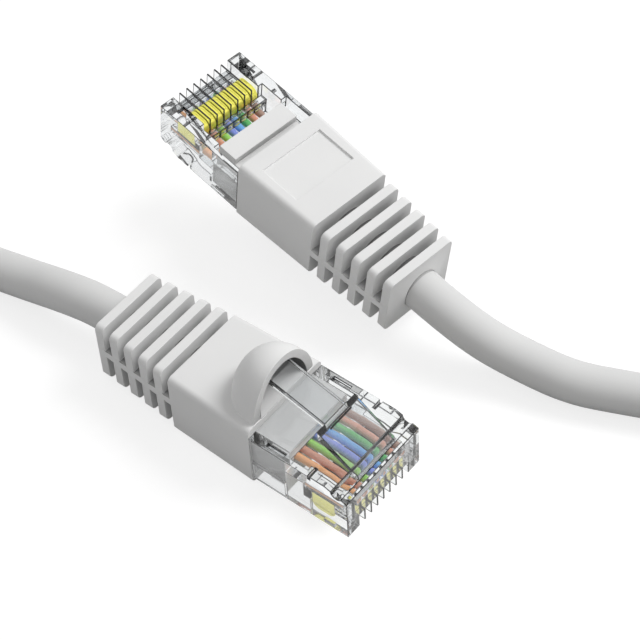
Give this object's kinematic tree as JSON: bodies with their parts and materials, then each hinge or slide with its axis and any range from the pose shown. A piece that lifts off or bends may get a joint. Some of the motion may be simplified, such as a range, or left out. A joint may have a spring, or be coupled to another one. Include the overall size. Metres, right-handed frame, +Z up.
{
  "type": "ethernet patch cable",
  "caption": "Short round network lead in one loose loop, with a clear modular plug, sprung latch and ribbed, hooded grey boot on each end.",
  "frame": {"origin": "on the surface, under the middle of the box round the two plugs", "axes": "+Z up; the plugs lie side by side, the first one's tip towards -X and +Y, the second one's towards +X and -Y; the free cable lies in a loop towards -Y"},
  "size_m": [0.1136, 0.0781, 0.015],
  "materials": {
    "clear_plastic": "clear and glossy",
    "grey_plastic": "matte",
    "gold": "polished",
    "copper": "bare",
    "orange_cover": "satin",
    "brown_cover": "satin",
    "lime_cover": "satin",
    "violet_cover": "satin",
    "light_blue_cover": "satin",
    "green_cover": "satin",
    "salmon_cover": "satin",
    "taupe_cover": "satin"
  },
  "bodies": {
    "lead": {"plug_a_housing": "clear_plastic", "plug_a_boot": "grey_plastic", "plug_a_filling": "grey_plastic", "plug_a_jacket_end": "grey_plastic", "plug_a_copper_cores": "copper", "plug_a_contact_1": "gold", "plug_a_wire_1": "orange_cover", "plug_a_contact_2": "gold", "plug_a_wire_2": "brown_cover", "plug_a_contact_3": "gold", "plug_a_wire_3": "lime_cover", "plug_a_contact_4": "gold", "plug_a_wire_4": "violet_cover", "plug_a_contact_5": "gold", "plug_a_wire_5": "light_blue_cover", "plug_a_contact_6": "gold", "plug_a_wire_6": "green_cover", "plug_a_contact_7": "gold", "plug_a_wire_7": "salmon_cover", "plug_a_contact_8": "gold", "plug_a_wire_8": "taupe_cover", "plug_b_housing": "clear_plastic", "plug_b_boot": "grey_plastic", "plug_b_filling": "grey_plastic", "plug_b_jacket_end": "grey_plastic", "plug_b_copper_cores": "copper", "plug_b_contact_1": "gold", "plug_b_wire_1": "orange_cover", "plug_b_contact_2": "gold", "plug_b_wire_2": "brown_cover", "plug_b_contact_3": "gold", "plug_b_wire_3": "lime_cover", "plug_b_contact_4": "gold", "plug_b_wire_4": "violet_cover", "plug_b_contact_5": "gold", "plug_b_wire_5": "light_blue_cover", "plug_b_contact_6": "gold", "plug_b_wire_6": "green_cover", "plug_b_contact_7": "gold", "plug_b_wire_7": "salmon_cover", "plug_b_contact_8": "gold", "plug_b_wire_8": "taupe_cover", "cable": "grey_plastic"},
    "latch_a": {"plug_a_latch": "clear_plastic"},
    "latch_b": {"plug_b_latch": "clear_plastic"}
  },
  "joints": [
    {"name": "latch_a_press", "type": "hinge", "parent": "lead", "child": "latch_a", "pos_m": [-0.00651, 0.0235, 0.00875], "axis": [-0.7516, -0.6596, 0], "range_deg": [0, 12], "stiffness_Nm_per_rad": 0.1},
    {"name": "latch_b_press", "type": "hinge", "parent": "lead", "child": "latch_b", "pos_m": [0.00874, -0.023, 0.0072], "axis": [-0.6613, -0.7501, 0], "range_deg": [0, 12], "stiffness_Nm_per_rad": 0.1}
  ]
}
